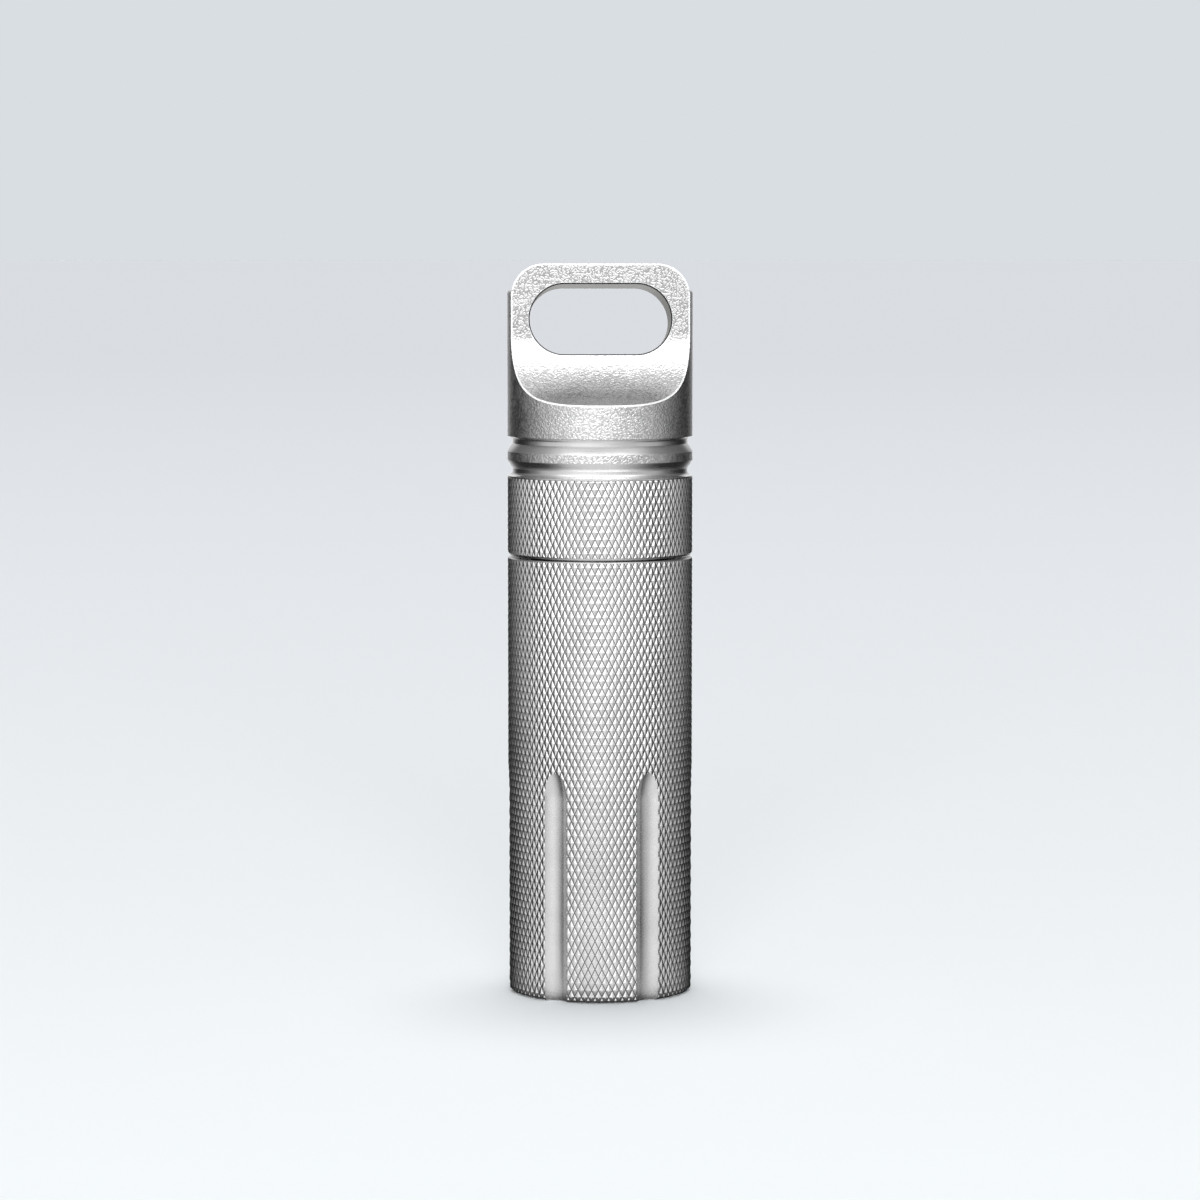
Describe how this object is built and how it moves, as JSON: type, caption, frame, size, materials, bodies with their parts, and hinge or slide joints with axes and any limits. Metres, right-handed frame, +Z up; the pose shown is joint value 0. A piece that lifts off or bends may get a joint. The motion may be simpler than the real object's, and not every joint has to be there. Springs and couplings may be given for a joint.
{
  "type": "waterproof capsule",
  "caption": "Slim cylindrical waterproof capsule with a knurled and fluted tube body, a screw cap with ring grooves and a flat lanyard loop, and rubber seals inside.",
  "frame": {"origin": "centre of the base, on the surface that the capsule stands on", "axes": "+Z runs up the capsule's axis to the loop, the loop's flat faces look along -Y and +Y, and its slot is long along X"},
  "size_m": [0.025, 0.025, 0.0987],
  "materials": {
    "body_metal": "bead-blasted and silver anodised, with a diamond knurl",
    "cap_metal": "bead-blasted and silver anodised, with bright turned grooves and chamfers",
    "ring_rubber": "matt moulded nitrile",
    "gasket_rubber": "satin silicone"
  },
  "bodies": {
    "container": {"body": "body_metal", "neck_o_ring": "ring_rubber"},
    "seal_disc": {"cap_gasket": "gasket_rubber"},
    "screw_cap": {"cap": "cap_metal"}
  },
  "joints": [
    {"name": "cap_lift", "type": "slide", "parent": "container", "child": "seal_disc", "axis": [0, 0, 1], "range_m": [0, 0.015]},
    {"name": "cap_turn", "type": "hinge", "parent": "seal_disc", "child": "screw_cap", "pos_m": [0, 0, 0.0595], "axis": [0, 0, 1], "range_deg": [0, 3600]}
  ],
  "couplings": [
    {"joint": "cap_lift", "follows": "cap_turn", "m_per_rad": 0.00023873}
  ]
}
